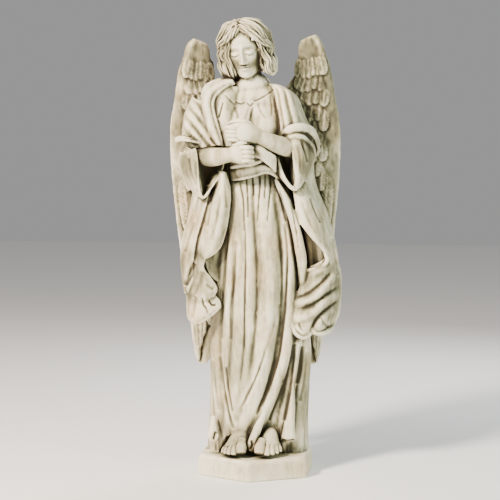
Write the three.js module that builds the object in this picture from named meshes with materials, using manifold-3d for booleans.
// A standing angel statue, cast in one with its low six-sided plinth, in millimetres with +Z up.
// The figure stands with its arms folded over its breast, in a high-waisted gown that sweeps to
// one side at the feet and a mantle that hangs from both elbows, between two tall folded wings.
// Every form is a closed swept or turned solid, and all of them are joined into one body.

import * as THREE from "three";
import { mergeVertices } from "three/addons/utils/BufferGeometryUtils.js";
import Module from "manifold-3d";

const wasm = await Module();
wasm.setup();

// Driving dimensions. The figure is laid out facing a little past the plinth's front corner, and
// TURN brings both into line, so that the corner and the breast face -Y.
const TURN = THREE.MathUtils.degToRad(8);
const PLINTH = { height: 46, foot: 140, top: 137, edge: 4 };
const GOWN_FOOT = PLINTH.height - 6;
const STONE = { color: 0xe2d9c8, roughness: 0.78, metalness: 0 };

const X_AXIS = new THREE.Vector3(1, 0, 0);
const Z_AXIS = new THREE.Vector3(0, 0, 1);

// A smooth curve through rows of numbers, read at t from 0 to 1.
function through(rows, t) {
  const place = t * (rows.length - 1);
  const i = Math.min(Math.floor(place), rows.length - 2);
  const w = place - i;
  const row = (k) => rows[Math.min(Math.max(k, 0), rows.length - 1)];
  return rows[0].map((_, c) => {
    const [before, start, end, after] = [row(i - 1)[c], row(i)[c], row(i + 1)[c], row(i + 2)[c]];
    const leave = (end - before) / 2;
    const arrive = (after - start) / 2;
    const cubic = 2 * (start - end) + leave + arrive;
    const square = 3 * (end - start) - 2 * leave - arrive;
    return ((cubic * w + square) * w + leave) * w + start;
  });
}

// The parabolic crest of a fold: 1 on its line, 0 at its half width and beyond.
const crest = (away, halfWidth) => Math.max(0, 1 - (away / halfWidth) ** 2);

// A solid swept through stations [x, y, z, half width, half depth, roll in degrees]. The width
// lies along the axis given as wide, and relief adds to the radius at an angle and height.
function swept(stations, { sides = 8, rings = 8, wide = X_AXIS, relief = null, shape = null } = {}) {
  const rows = stations.map(([x, y, z, a, b = a, roll = 0]) => [x, y, z, a, b, roll]);
  const blank = new THREE.CylinderGeometry(1, 1, 1, sides, rings, false, Math.PI / 2);
  const position = blank.getAttribute("position");
  for (let i = 0; i < position.count; i += 1) {
    const t = 0.5 - position.getY(i);
    const [x, y, z, a, b, roll] = through(rows, t);
    const ahead = new THREE.Vector3(...through(rows, Math.min(t + 0.01, 1)));
    const behind = new THREE.Vector3(...through(rows, Math.max(t - 0.01, 0)));
    const along = ahead.sub(behind).normalize();
    const across = wide.clone().addScaledVector(along, -wide.dot(along)).normalize();
    across.applyAxisAngle(along, THREE.MathUtils.degToRad(roll));
    const front = new THREE.Vector3().crossVectors(along, across);
    let [u, v] = [position.getX(i), position.getZ(i)];
    if (shape) [u, v] = shape(u, v);
    const out = relief && Math.hypot(u, v) > 0.5 ? relief(x + u * a, z, v, Math.atan2(v, u)) : 0;
    const point = new THREE.Vector3(x, y, z)
      .addScaledVector(across, u * (a + out))
      .addScaledVector(front, v * (b + out));
    position.setXYZ(i, point.x, point.y, point.z);
  }
  return blank;
}

// A three.js geometry as a solid that can be joined and cut.
function solid(geometry) {
  geometry.deleteAttribute("normal");
  geometry.deleteAttribute("uv");
  const closed = mergeVertices(geometry, 1e-3);
  const { position } = closed.attributes;
  const mesh = new wasm.Mesh({
    numProp: 3,
    vertProperties: new Float32Array(position.array),
    triVerts: new Uint32Array(closed.index.array),
  });
  return new wasm.Manifold(mesh);
}

const joined = (solids) => solids.reduce((whole, one) => whole.add(one));
const sweptSolid = (stations, options) => solid(swept(stations, options));

// The plinth: a low hexagon with battered sides and a small chamfer round its top.
function plinth() {
  const { height, foot, top, edge } = PLINTH;
  const profile = [
    [0, 0],
    [foot, 0],
    [top, height - edge],
    [top - edge, height],
    [0, height],
  ].map(([r, z]) => new THREE.Vector2(r, z));
  const turned = new THREE.LatheGeometry(profile, 6);
  turned.rotateX(Math.PI / 2);
  turned.rotateZ(-TURN);
  return solid(turned);
}

// The gown from the plinth to the neck, with the long folds that run down from the high waist
// and sweep to the figure's right at the feet. Each fold has the places of its crest at GOWN_LEVELS.
const GOWN = [
  [5, 18, GOWN_FOOT, 112, 66],
  [6, 17, 110, 110, 68],
  [9, 15, 190, 110, 70],
  [10, 13, 265, 110, 72],
  [8, 12, 345, 106, 70],
  [6, 13, 430, 100, 70],
  [0, 16, 520, 92, 66],
  [-6, 18, 600, 82, 62],
  [-10, 18, 650, 72, 56],
  [-12, 16, 700, 78, 56],
  [-12, 12, 752, 84, 60],
  [-10, 14, 800, 86, 52],
  [-10, 16, 836, 72, 42],
  [-12, 15, 862, 34, 30],
];
const GOWN_LEVELS = [640, 540, 450, 350, 260, 185, 130, 80];
const GOWN_FOLDS = [
  { crests: [-66, -72, -80, -84, -86, -84, -78, -74], half: 13, height: 8 },
  { crests: [-54, -54, -57, -62, -66, -65, -62, -62], half: 12, height: 9 },
  { crests: [-42, -36, -32, -33, -38, -44, -52, -58], half: 17, height: 12 },
  { crests: [-19, -18, -14, -14, -19, -24, -38, -52], half: 13, height: 11 },
  { crests: [14, 24, 30, 26, 13, -2, -18, -34], half: 27, height: 15 },
  { crests: [42, 62, 71, 71, 58, 36, 12, -6], half: 15, height: 17 },
  { crests: [58, 80, 92, 92, 86, 74, 62, 54], half: 15, height: 11 },
  { crests: [72, 96, 108, 110, 112, 102, 96, 92], half: 17, height: 9 },
];
const BREAST = { middle: -10, across: 34, half: 34, height: 752, tall: 62, out: 17 };
const GATHERS = { top: 662, depth: 30 };
const BACK_FOLDS = { count: 9, drift: 400, height: 9 };
const FACING = 3;

// Where a height lies in a falling list of levels: the level above it, and the share of the way
// down to the next.
function between(levels, height) {
  const last = levels.length - 2;
  const i = THREE.MathUtils.clamp(levels.filter((level) => level > height).length - 1, 0, last);
  const share = (levels[i] - height) / (levels[i] - levels[i + 1]);
  return [i, THREE.MathUtils.clamp(share, 0, 1)];
}

// The folds fade out above the gathers, and towards the sides where front and back folds meet.
function gownRelief(x, z, front, angle) {
  const fade = THREE.MathUtils.clamp((GATHERS.top - z) / GATHERS.depth, 0, 1);
  const facing = Math.min(1, Math.abs(front) * FACING);
  if (front < 0) {
    const turn = (angle / Math.PI) * BACK_FOLDS.count + z / BACK_FOLDS.drift;
    return fade * facing * BACK_FOLDS.height * crest(turn - Math.floor(turn) - 0.5, 0.5);
  }
  const [i, share] = between(GOWN_LEVELS, z);
  const heights = GOWN_FOLDS.map(({ crests, half, height }) => {
    const line = THREE.MathUtils.lerp(crests[i], crests[i + 1], share);
    return height * crest(x - line, half);
  });
  const breast = BREAST.out * crest(Math.abs(x - BREAST.middle) - BREAST.across, BREAST.half);
  return facing * (fade * Math.max(...heights) + breast * crest(z - BREAST.height, BREAST.tall));
}

// Two thirds of the gown's facets lie across its front, where the folds are.
const FRONT_WEIGHT = 0.34;

function frontWeighted(u, v) {
  const angle = Math.atan2(v, u);
  const size = Math.hypot(u, v);
  const pull = FRONT_WEIGHT * Math.sin(angle) * Math.abs(Math.sin(angle / 2 + Math.PI / 4));
  return [size * Math.cos(angle - pull), size * Math.sin(angle - pull)];
}

function gown() {
  const options = { sides: 32, rings: 15, relief: gownRelief, shape: frontWeighted };
  return sweptSolid(GOWN.slice().reverse(), options);
}

// The neck, and the roll of gathered cloth under the breast.
function neckAndWaist() {
  const neck = [
    [-12, 14, 838, 32, 30],
    [-12, 8, 862, 27, 27],
    [-14, 2, 885, 25, 26],
    [-18, -2, 915, 25, 26],
  ];
  const waistRoll = [
    [-60, -22, 655, 8],
    [-36, -44, 660, 11],
    [-8, -50, 668, 12],
    [26, -46, 662, 11],
    [52, -24, 655, 8],
  ];
  return joined([
    sweptSolid(neck, { sides: 9, rings: 3 }),
    sweptSolid(waistRoll, { sides: 4, rings: 5, wide: Z_AXIS }),
  ]);
}

// The shoulders under the cloth, and both forearms folded over the breast.
function arms() {
  const shoulders = sweptSolid(
    [
      [-104, 14, 812, 24, 26],
      [-70, 16, 832, 26, 30],
      [-12, 16, 836, 28, 34],
      [46, 16, 836, 26, 30],
      [84, 14, 812, 24, 26],
    ],
    { sides: 8, rings: 4, wide: Z_AXIS },
  );
  const rightForearm = sweptSolid(
    [
      [-128, -14, 710, 20, 18],
      [-110, -48, 704, 22, 19],
      [-90, -74, 702, 20, 18],
      [-62, -98, 706, 16, 15],
      [-44, -106, 708, 16, 13],
    ],
    { sides: 7, rings: 4, wide: Z_AXIS },
  );
  const leftForearm = sweptSolid(
    [
      [100, -22, 716, 20, 18],
      [72, -58, 722, 21, 19],
      [42, -82, 730, 19, 17],
      [14, -96, 742, 16, 14],
      [-4, -98, 748, 15, 12],
    ],
    { sides: 7, rings: 4, wide: Z_AXIS },
  );
  return joined([shoulders, rightForearm, leftForearm]);
}

// A hand is a palm and a row of four bent fingers parted by grooves; the left has its thumb on top.
const FINGER_GROOVE = 0.28;
const knuckles = (u, v) => [u, v * (1 - FINGER_GROOVE * Math.cos(8 * Math.atan2(v, u)))];

function hands() {
  const rightPalm = [
    [-54, -101, 707, 15, 12],
    [-42, -107, 708, 19, 12],
    [-34, -108, 708, 20, 11],
  ];
  const rightFingers = [
    [-38, -107, 708, 21, 9],
    [-26, -112, 708, 21, 9],
    [-13, -111, 707, 20, 9],
    [-11, -98, 706, 17, 8],
  ];
  const leftPalm = [
    [6, -97, 747, 15, 12],
    [-12, -104, 750, 20, 12],
    [-26, -104, 753, 20, 10],
  ];
  const leftFingers = [
    [-22, -104, 753, 20, 9],
    [-38, -106, 756, 19, 8],
    [-52, -97, 758, 18, 8],
    [-50, -84, 759, 15, 7],
  ];
  const thumb = [
    [-8, -98, 770, 6],
    [-34, -100, 777, 6],
    [-58, -92, 771, 4],
  ];
  return joined([
    sweptSolid(rightPalm, { sides: 8, rings: 2, wide: Z_AXIS }),
    sweptSolid(rightFingers, { sides: 16, rings: 3, wide: Z_AXIS, shape: knuckles }),
    sweptSolid(leftPalm, { sides: 8, rings: 2, wide: Z_AXIS }),
    sweptSolid(leftFingers, { sides: 16, rings: 3, wide: Z_AXIS, shape: knuckles }),
    sweptSolid(thumb, { sides: 5, rings: 3, wide: Z_AXIS }),
  ]);
}

// The head, bent forward and turned to the figure's right. Its face is made of simple masses.
const HEAD = { place: [-25, -4, 938], nod: 14, turn: -9, tilt: -7 };

function onHead(geometry) {
  const { place, nod, turn, tilt } = HEAD;
  const radians = THREE.MathUtils.degToRad;
  geometry.rotateX(radians(nod));
  geometry.rotateZ(radians(turn));
  geometry.rotateY(radians(tilt));
  return geometry.translate(...place);
}

const SKULL = [
  [0, 2, 62, 12, 14],
  [0, 1, 55, 30, 36],
  [0, 1, 34, 39, 48],
  [0, 0, 10, 41, 50],
  [0, -2, -8, 39, 47],
  [0, -8, -28, 34, 40],
  [0, -15, -46, 25, 31],
  [0, -20, -60, 13, 19],
];
const EYE = { across: 16, height: 1, wide: 11, tall: 9, sunk: 6 };

const faceRelief = (x, z, front) => {
  const { across, height, wide, tall, sunk } = EYE;
  return front > 0 ? -sunk * crest(Math.abs(x) - across, wide) * crest(z - height, tall) : 0;
};

function head() {
  const skull = swept(SKULL, { sides: 16, rings: 8, relief: faceRelief });
  const nose = swept(
    [
      [0, -44, 10, 4, 4],
      [0, -51, -8, 5, 6],
      [0, -54, -18, 8, 7],
      [0, -46, -24, 5, 4],
    ],
    { sides: 5, rings: 3 },
  );
  const lips = swept(
    [
      [-13, -38, -34, 3],
      [0, -46, -34, 6, 5],
      [13, -38, -34, 3],
    ],
    { sides: 5, rings: 3, wide: Z_AXIS },
  );
  return joined([skull, nose, lips].map((piece) => solid(onHead(piece))));
}

// Waves of hair from the parting round each cheek, a cap behind them, and curls at the nape.
const LOCKS = [
  [
    [-6, -47, 54, 8, 8], [-30, -42, 45, 12, 11], [-44, -30, 18, 11, 12], [-57, -20, -14, 13, 14],
    [-50, -18, -46, 12, 13], [-34, -20, -64, 5, 7],
  ],
  [
    [-6, -26, 62, 10, 9], [-38, -18, 46, 15, 13], [-50, -8, 14, 12, 13], [-62, -2, -14, 13, 14],
    [-54, 2, -46, 12, 13], [-42, 2, -64, 6, 7],
  ],
  [
    [2, -49, 54, 8, 8], [28, -44, 42, 11, 10], [40, -32, 18, 10, 11], [48, -18, -8, 10, 12],
    [54, -12, -36, 11, 12], [48, -12, -58, 6, 7],
  ],
  [
    [4, -28, 62, 10, 9], [36, -20, 47, 14, 12], [48, -8, 16, 12, 13], [58, 0, -12, 12, 12],
    [60, 4, -40, 11, 11], [52, 4, -60, 6, 6],
  ],
];

function hair() {
  const cap = new THREE.SphereGeometry(1, 10, 7);
  cap.rotateX(Math.PI / 2);
  cap.scale(50, 55, 61);
  cap.translate(0, 12, 9);
  const waves = LOCKS.map((rows) => swept(rows, { sides: 5, rings: 5 }));
  const nape = [-1, 0, 1].map((n) =>
    swept(
      [
        [n * 22, 44, 40, 20, 14],
        [n * 32, 56 - Math.abs(n) * 12, 0, 22, 15],
        [n * 30, 50 - Math.abs(n) * 14, -34, 20, 13],
        [n * 28, 40 - Math.abs(n) * 10, -60, 10, 7],
      ],
      { sides: 5, rings: 3 },
    ),
  );
  return joined([cap, ...waves, ...nape].map((piece) => solid(onHead(piece))));
}

// One wing is a tapering blade with a thick rounded fore edge, clad in overlapping feathers.
// side is -1 for the wing at the left of the front view. Rows: inner edge, outer edge, depth
// of the middle, height, half thickness.
const WING_ROWS = [
  [104, 132, 48, 964, 8],
  [96, 152, 50, 938, 17],
  [86, 172, 54, 880, 17],
  [48, 186, 62, 812, 14],
  [32, 192, 70, 740, 12],
  [28, 189, 76, 660, 11],
  [28, 182, 80, 570, 10],
  [32, 173, 82, 470, 9],
  [52, 163, 82, 375, 8],
  [92, 152, 82, 285, 7],
  [120, 142, 82, 226, 4],
];
const WING_TILT = -6;

// The wing's inner edge, outer edge, middle depth and half thickness at a height.
function wingAt(height) {
  let t = 0;
  while (t < 1 && through(WING_ROWS, t)[3] > height) t += 0.01;
  const [inner, outer, depth, , thick] = through(WING_ROWS, Math.min(t, 1));
  return { inner, outer, depth, thick };
}

// The wing behind the figure's right arm is set a little lower, and leans out at its top.
const LEAN = { about: 600, turn: -1.3, scale: 0.986 };

function leaning(side, geometry) {
  if (side > 0) return geometry;
  geometry.translate(0, 0, -LEAN.about);
  geometry.rotateY(THREE.MathUtils.degToRad(LEAN.turn));
  geometry.scale(1, 1, LEAN.scale);
  return geometry.translate(0, 0, LEAN.about);
}

// A row of feathers is a plate over a share of the wing's breadth, from its top down to a lower
// edge cut in rounded tips. It is sunk in the blade along its top, and stands proud of both of the
// blade's faces along its tips. notch is how far up the gaps between the tips run.
const SUNK = 3;
const LEAST_ROUND = 0.2;

function featherOutline({ top, bottom, from, to, count, notch }) {
  const outline = new THREE.Shape();
  const shoulder = bottom + notch / 6;
  outline.moveTo(from, top);
  outline.lineTo(from, bottom + notch);
  for (let n = 0; n < count; n += 1) {
    const start = THREE.MathUtils.lerp(from, to, n / count);
    const end = THREE.MathUtils.lerp(from, to, (n + 1) / count);
    const middle = (start + end) / 2;
    outline.quadraticCurveTo(start, shoulder, middle, bottom);
    outline.quadraticCurveTo(end, shoulder, end, bottom + notch);
  }
  outline.lineTo(to, top);
  outline.closePath();
  return outline;
}

function plumage(side, row) {
  const plate = new THREE.ExtrudeGeometry(featherOutline(row), {
    depth: 2,
    curveSegments: 2,
    bevelEnabled: false,
  });
  const position = plate.getAttribute("position");
  for (let i = 0; i < position.count; i += 1) {
    const [share, height, face] = [position.getX(i), position.getY(i), position.getZ(i) - 1];
    const { inner, outer, depth, thick } = wingAt(height);
    const x = THREE.MathUtils.lerp(inner, outer, share);
    const fall = THREE.MathUtils.clamp((row.top - height) / (row.top - row.bottom), 0, 1);
    const turn = Math.tan(THREE.MathUtils.degToRad(WING_TILT)) * (x - (inner + outer) / 2);
    const round = Math.sqrt(Math.max(LEAST_ROUND, 1 - (2 * share - 1) ** 2));
    const half = thick * round + THREE.MathUtils.lerp(-SUNK, row.proud, fall);
    position.setXYZ(i, side * x, depth + turn - side * face * half, height);
  }
  return solid(leaning(side, plate));
}

const PLUMAGE = [
  { top: 902, bottom: 812, from: 0.16, to: 0.78, count: 2, proud: 4, notch: 18 },
  { top: 822, bottom: 736, from: 0.12, to: 0.8, count: 2, proud: 4, notch: 20 },
  { top: 748, bottom: 652, from: 0.08, to: 0.84, count: 3, proud: 4, notch: 20 },
  { top: 664, bottom: 548, from: 0.06, to: 0.88, count: 3, proud: 4, notch: 24 },
  { top: 552, bottom: 400, from: 0.1, to: 0.38, count: 1, proud: 2, notch: 36 },
  { top: 552, bottom: 330, from: 0.36, to: 0.66, count: 1, proud: 4, notch: 36 },
  { top: 552, bottom: 262, from: 0.64, to: 0.92, count: 1, proud: 6, notch: 36 },
];

function wing(side) {
  const blade = swept(
    WING_ROWS.map(([inner, outer, depth, height, thick]) => [
      (side * (inner + outer)) / 2,
      depth,
      height,
      (outer - inner) / 2,
      thick,
      -side * WING_TILT,
    ]),
    { sides: 6, rings: 8 },
  );
  return joined([solid(leaning(side, blade)), ...PLUMAGE.map((row) => plumage(side, row))]);
}

// The mantle: masses that hang over each arm and from the elbow, one behind between the wings,
// and the folds of cloth laid over them.
const RIGHT_FALL = [
  [-70, 14, 842, 22, 26],
  [-97, 10, 785, 29, 32],
  [-114, 4, 722, 30, 36],
  [-109, 14, 640, 29, 46],
  [-124, 14, 560, 34, 50],
  [-130, 12, 470, 38, 50],
  [-128, 8, 400, 37, 46],
  [-124, 4, 342, 30, 38],
];
const LEFT_FALL = [
  [58, 14, 840, 22, 26],
  [82, 10, 785, 28, 32],
  [98, 4, 722, 28, 36],
  [106, 14, 640, 28, 48],
  [130, 14, 560, 36, 52],
  [144, 12, 480, 42, 52],
  [148, 8, 410, 42, 50],
  [136, 4, 350, 40, 44],
  [120, 2, 306, 28, 34],
];
const BACK_FALL = [
  [-12, 30, 862, 40, 22],
  [-12, 44, 820, 74, 34],
  [-10, 50, 740, 88, 42],
  [-6, 50, 640, 98, 44],
  [0, 48, 540, 108, 44],
  [4, 44, 440, 116, 42],
  [6, 40, 350, 118, 38],
  [6, 36, 292, 106, 30],
];
const RIBBONS = [
  [
    [-66, -44, 672, 7, 6], [-78, -50, 618, 17, 7], [-86, -50, 562, 24, 8], [-92, -48, 520, 20, 7],
    [-106, -44, 488, 6, 5],
  ],
  [
    [-112, -40, 496, 6, 6], [-106, -46, 455, 16, 8], [-100, -48, 418, 21, 8],
    [-112, -46, 385, 18, 8], [-122, -40, 345, 24, 8],
  ],
  [
    [-82, -40, 384, 8], [-108, -44, 352, 11], [-136, -34, 338, 9],
  ],
  [
    [-96, -26, 640, 8], [-124, -34, 560, 14], [-148, -26, 498, 14], [-158, -6, 462, 9],
  ],
  [
    [-112, -42, 500, 9], [-136, -38, 446, 14], [-154, -16, 412, 9],
  ],
  [
    [-118, -44, 430, 9], [-140, -34, 384, 14], [-150, -10, 352, 9],
  ],
  [
    [92, -38, 640, 10, 8], [112, -46, 580, 22, 9], [136, -44, 522, 24, 9], [154, -34, 480, 12, 7],
  ],
  [
    [128, -20, 650, 9], [152, -24, 570, 14], [170, -22, 500, 15], [180, -10, 440, 10],
  ],
  [
    [156, -34, 462, 8], [126, -48, 440, 12], [100, -46, 428, 8],
  ],
  [
    [178, -18, 452, 9], [146, -44, 412, 14], [104, -52, 386, 13], [88, -46, 384, 7],
  ],
  [
    [184, -8, 410, 10], [154, -42, 372, 16], [116, -52, 340, 16], [90, -46, 326, 8],
  ],
  [
    [176, -10, 362, 9], [156, -34, 332, 15], [126, -42, 312, 14], [104, -36, 304, 7],
  ],
];

// The shoulder folds, the wide sleeve that hangs open under each forearm, and the rolled cloth
// at the elbow.
const SHOULDER_FOLDS = [
  [
    [-46, 2, 862, 10, 9], [-84, 8, 856, 14, 12], [-112, -4, 828, 14, 12], [-108, -34, 786, 13, 10],
    [-80, -62, 730, 7, 7],
  ],
  [
    [-132, 8, 806, 12, 14], [-142, -18, 772, 15, 12], [-118, -48, 742, 13, 10],
    [-84, -64, 720, 6, 6],
  ],
  [
    [-172, -2, 730, 8, 9], [-152, -30, 738, 11, 9], [-118, -48, 728, 9, 8],
  ],
  [
    [30, 4, 862, 9, 9], [70, 4, 850, 13, 12], [90, -8, 820, 13, 12], [84, -32, 770, 11, 10],
    [66, -52, 744, 6, 7],
  ],
  [
    [56, -52, 752, 8, 8], [86, -46, 766, 12, 11], [116, -24, 764, 13, 12], [136, -4, 724, 12, 12],
    [126, -2, 684, 9, 10],
  ],
  [
    [62, -64, 744, 6, 6], [84, -62, 730, 9, 9], [92, -62, 690, 10, 10], [84, -64, 646, 7, 8],
  ],
  [
    [88, -52, 748, 7, 7], [108, -46, 722, 11, 10], [116, -40, 690, 12, 12], [108, -42, 660, 7, 8],
  ],
];

// A sleeve is a tube with an egg-shaped mouth drawn to a point below, hollowed part of the way in.
const SLEEVE = { wall: 6, droop: 1.5, pinch: 0.55, narrowing: 8 };
const RIGHT_SLEEVE = { mouth: [-108, -66, 676], back: [-120, 0, 700], tall: 38, wide: 34 };
const LEFT_SLEEVE = { mouth: [66, -62, 684], back: [90, 0, 700], tall: 34, wide: 24 };

function dropShape(u, v) {
  return u > 0 ? [u * SLEEVE.droop, v * (1 - SLEEVE.pinch * u)] : [u, v];
}

function sleeve({ mouth, back, tall, wide }) {
  const tube = (shares, wall) => {
    const rows = shares.map((share) => [
      ...mouth.map((value, axis) => THREE.MathUtils.lerp(value, back[axis], share)),
      tall - wall - SLEEVE.narrowing * share,
      wide - wall - (SLEEVE.narrowing / 2) * share,
    ]);
    const down = Z_AXIS.clone().negate();
    return sweptSolid(rows, { sides: 8, rings: 2, wide: down, shape: dropShape });
  };
  return { outer: tube([0, 0.5, 1], 0), hollow: tube([-0.3, 0.2, 0.62], SLEEVE.wall) };
}

// Long upright folds down the back of the mantle.
const MANTLE_FOLDS = { height: 9, apart: 50, drift: 1000 };

function backRelief(x, z, front) {
  const { height, apart, drift } = MANTLE_FOLDS;
  return front < 0 ? height * Math.cos(2 * Math.PI * (x / apart + z / drift)) : 0;
}

function mantle() {
  const falls = [RIGHT_FALL, LEFT_FALL].map((rows) => sweptSolid(rows, { sides: 8, rings: 7 }));
  const back = sweptSolid(BACK_FALL, { sides: 14, rings: 5, relief: backRelief });
  const ribbons = RIBBONS.map((rows) => sweptSolid(rows, { sides: 4, rings: 4 }));
  const shoulder = SHOULDER_FOLDS.map((rows) => sweptSolid(rows, { sides: 4, rings: 4 }));
  const lappet = sweptSolid(
    [
      [-12, -90, 716, 12, 8],
      [14, -84, 710, 22, 8],
      [40, -66, 700, 32, 10],
    ],
    { sides: 6, rings: 3, wide: Z_AXIS },
  );
  return joined([...falls, back, ...ribbons, ...shoulder, lappet]);
}

// Bare feet under the hem, with five toes each. side is 1 where the great toe is at greater x.
const TOES = { count: 5, first: 16, apart: 8.4, reach: 26, shorter: 4, great: 8, small: 5.2 };

function foot(heel, ball, side) {
  const top = PLINTH.height;
  const lead = (ball[0] - heel[0]) / (heel[1] - ball[1]);
  const instep = [
    [heel[0], heel[1], top + 46, 20, 22],
    [(heel[0] + ball[0]) / 2, (heel[1] + ball[1]) / 2, top + 24, 20, 17],
    [ball[0], ball[1], top + 8, 22, 10],
    [ball[0] + lead * 8, ball[1] - 8, top + 4, 20, 6],
  ];
  const toes = Array.from({ length: TOES.count }, (_, n) => {
    const across = ball[0] + side * (TOES.first - n * TOES.apart);
    const reach = TOES.reach - n * TOES.shorter;
    const half = n === 0 ? TOES.great : TOES.small;
    const root = [across - side * n, ball[1] + 4, top + half + 3, half, half * 0.9];
    const tip = [across + lead * reach, ball[1] - reach, top + half * 0.6, half, half * 0.7];
    return sweptSolid([root, tip], { sides: 4, rings: 1 });
  });
  return joined([sweptSolid(instep, { sides: 7, rings: 3 }), ...toes]);
}

function feet() {
  return joined([foot([-20, -28], [-44, -72], 1), foot([30, -28], [30, -76], -1)]);
}

function figure() {
  const sleeves = [RIGHT_SLEEVE, LEFT_SLEEVE].map(sleeve);
  const masses = [gown(), neckAndWaist(), mantle(), wing(-1), wing(1)];
  const cloth = sleeves.reduce(
    (whole, { hollow }) => whole.subtract(hollow),
    joined([...masses, ...sleeves.map(({ outer }) => outer)]),
  );
  return joined([cloth, arms(), hands(), head(), hair(), feet()]);
}

// The finished solid as a mesh in the part's frame.
function statueMesh() {
  const whole = figure().add(plinth()).getMesh();
  const geometry = new THREE.BufferGeometry();
  geometry.setAttribute("position", new THREE.BufferAttribute(whole.vertProperties.slice(), 3));
  geometry.setIndex(new THREE.BufferAttribute(whole.triVerts.slice(), 1));
  geometry.rotateZ(TURN);
  geometry.computeVertexNormals();
  const mesh = new THREE.Mesh(geometry, new THREE.MeshStandardMaterial(STONE));
  mesh.name = "angel_statue";
  return mesh;
}

const statue = new THREE.Group();
statue.add(statueMesh());

export default statue;
